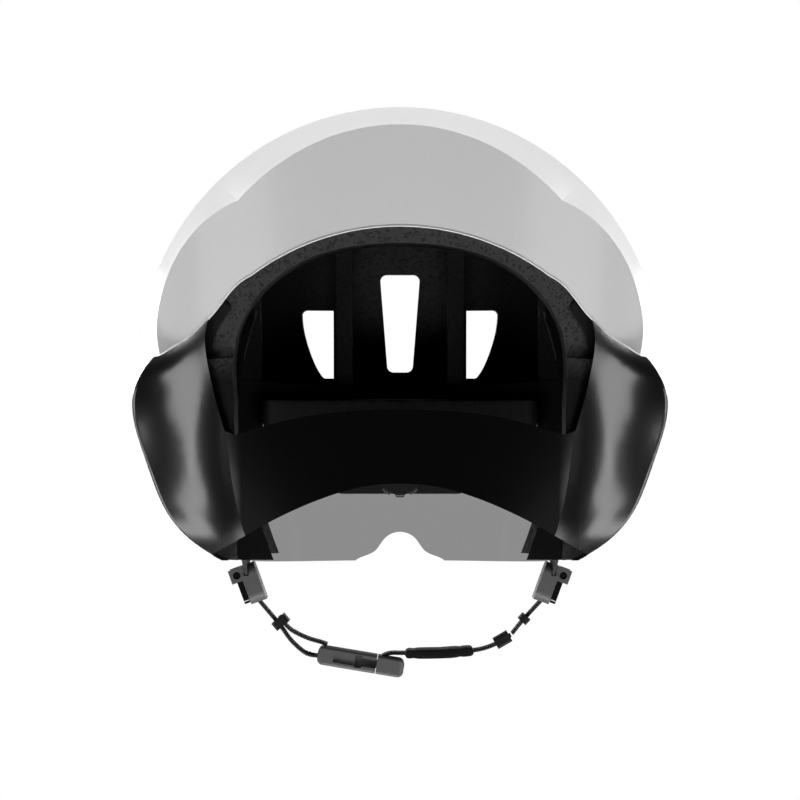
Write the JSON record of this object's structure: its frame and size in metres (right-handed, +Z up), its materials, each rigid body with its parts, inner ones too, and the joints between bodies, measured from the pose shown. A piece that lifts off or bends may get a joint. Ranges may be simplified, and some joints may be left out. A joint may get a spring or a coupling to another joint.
{
  "type": "aero time trial helmet",
  "caption": "Closed-shell aero cycling helmet with a cut-off tail, open rear mouth, ear wings, magnetic visor, ratchet fit dial and chin strap with magnetic buckle.",
  "frame": {"origin": "centre of the head opening at brow level", "axes": "+Z up through the crown, +Y towards the face, +X to the right as seen from behind"},
  "size_m": [0.2282, 0.2892, 0.248],
  "materials": {
    "white_shell": "gloss",
    "black_shell": "satin",
    "foam": "speckled foam",
    "tint": "gloss",
    "magnet": "bright",
    "pad": "knit",
    "black_plastic": "satin",
    "webbing": "woven"
  },
  "bodies": {
    "helmet": {"upper_shell": "white_shell", "lower_shell": "black_shell", "crown_liner": "foam", "lower_liner": "foam", "shell_magnets": "magnet", "forehead_pad": "pad", "side_pad_left": "pad", "side_pad_right": "pad", "rib_pad_left": "pad", "rib_pad_right": "pad", "temple_pins": "black_plastic", "strap_anchors": "black_plastic", "strap_front_left": "webbing", "strap_front_right": "webbing", "strap_rear_left": "webbing", "strap_rear_right": "webbing", "strap_divider_left": "black_plastic", "strap_divider_right": "black_plastic", "chin_strap_left": "webbing", "chin_strap_right": "webbing", "strap_tail": "webbing", "buckle_body": "black_plastic", "buckle_magnet": "magnet", "strap_keeper_left": "black_plastic", "strap_keeper_right": "black_plastic"},
    "visor": {"visor_lens": "tint", "visor_magnets": "magnet"},
    "cradle": {"cradle_housing": "black_plastic", "nape_pads": "pad"},
    "dial": {"fit_dial": "black_plastic", "dial_pinion": "black_plastic"},
    "band_left": {"fit_band_left": "black_plastic"},
    "band_right": {"fit_band_right": "black_plastic"},
    "lever_left": {"cam_lever_left": "black_plastic"},
    "lever_right": {"cam_lever_right": "black_plastic"},
    "tongue": {"buckle_tongue": "black_plastic", "tongue_magnet": "magnet", "chin_strap_low": "webbing", "chin_pad": "pad", "strap_keeper_tail": "black_plastic"}
  },
  "joints": [
    {"name": "visor_pull", "type": "slide", "parent": "helmet", "child": "visor", "axis": [0, 1, 0], "range_m": [0, 0.08]},
    {"name": "cradle_tilt", "type": "hinge", "parent": "helmet", "child": "cradle", "pos_m": [0, 0.044, -0.012], "axis": [1, 0, 0], "range_deg": [-3, 3]},
    {"name": "dial_turn", "type": "hinge", "parent": "cradle", "child": "dial", "pos_m": [0, -0.099, -0.0187], "axis": [0, 1, 0], "range_deg": [0, 57]},
    {"name": "band_left_slide", "type": "slide", "parent": "cradle", "child": "band_left", "axis": [1, 0, 0], "range_m": [0, 0.004]},
    {"name": "band_right_slide", "type": "slide", "parent": "cradle", "child": "band_right", "axis": [-1, 0, 0], "range_m": [0, 0.004]},
    {"name": "lever_left_open", "type": "hinge", "parent": "helmet", "child": "lever_left", "pos_m": [-0.07081, 0, -0.06467], "axis": [0, 1, 0], "range_deg": [0, 60]},
    {"name": "lever_right_open", "type": "hinge", "parent": "helmet", "child": "lever_right", "pos_m": [0.07081, 0, -0.06467], "axis": [0, -1, 0], "range_deg": [0, 60]},
    {"name": "buckle_release", "type": "slide", "parent": "helmet", "child": "tongue", "axis": [0, -1, 0], "range_m": [0, 0.016], "deforming": ["chin_strap_right"]}
  ],
  "couplings": [
    {"joint": "band_left_slide", "follows": "dial_turn", "m_per_rad": 0.004},
    {"joint": "band_right_slide", "follows": "dial_turn", "m_per_rad": 0.004}
  ]
}
